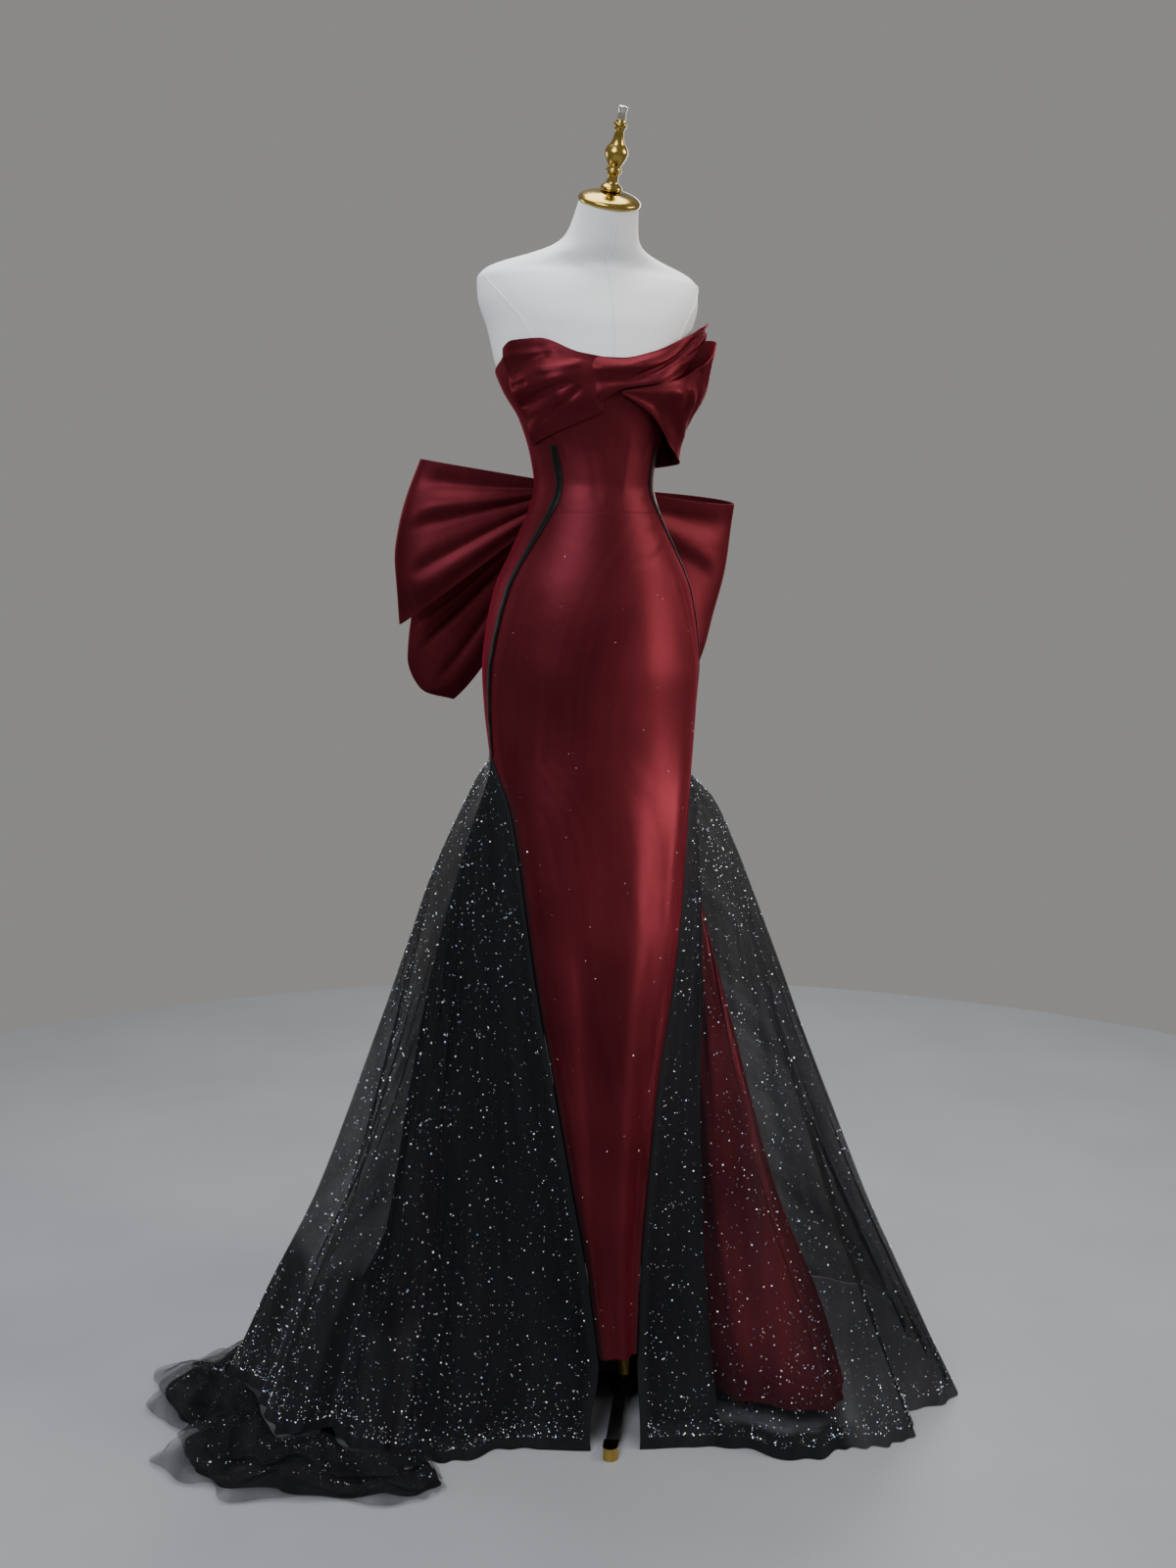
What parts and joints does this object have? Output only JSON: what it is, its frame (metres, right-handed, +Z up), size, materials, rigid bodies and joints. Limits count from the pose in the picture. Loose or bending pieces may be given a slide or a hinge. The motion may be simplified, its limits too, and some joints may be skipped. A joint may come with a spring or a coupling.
{
  "type": "strapless prom dress on a limbless dress form and stand",
  "caption": "Strapless mermaid gown with a draped bust, a bow at the back of the waist and a flared net overskirt with a train, on a limbless dress form and its low stand.",
  "frame": {"origin": "middle of the footprint of the whole piece, on the floor", "axes": "+Z up, the gown's front faces -Y, the wearer's left is +X"},
  "size_m": [1.1086, 0.7554, 1.7742],
  "materials": {
    "wine_satin": "satin",
    "black_satin": "satin",
    "black_net": "fine net with glitter",
    "form_cover": "smooth jersey",
    "brass": "polished",
    "black_metal": "satin black"
  },
  "bodies": {
    "root": {"form_torso": "form_cover", "neck_cap": "brass", "finial": "brass", "pole": "brass", "pole_sleeve": "brass", "stand_hub": "black_metal", "leg_1": "black_metal", "foot_1": "brass", "leg_2": "black_metal", "foot_2": "brass", "leg_3": "black_metal", "foot_3": "brass", "leg_4": "black_metal", "foot_4": "brass", "bodice_front": "wine_satin", "bodice_side_right": "wine_satin", "bodice_back_right": "wine_satin", "skirt_back_right": "wine_satin", "bodice_side_left": "wine_satin", "bodice_back_left": "wine_satin", "skirt_back_left": "wine_satin", "skirt_front": "wine_satin", "seam_ribbon_right": "black_satin", "seam_ribbon_left": "black_satin", "net_left": "black_net", "inner_net_left": "black_net", "inner_net_right": "black_net", "satin_flare_left": "wine_satin", "satin_flare_right": "wine_satin", "net_right": "black_net", "train_heap": "black_net", "bust_drape": "wine_satin", "bust_strip": "wine_satin", "bust_loop": "wine_satin", "bow_loop_upper_right": "wine_satin", "bow_loop_upper_left": "wine_satin", "bow_loop_lower_right": "wine_satin", "bow_loop_lower_left": "wine_satin", "bow_knot": "wine_satin"}
  },
  "joints": []
}
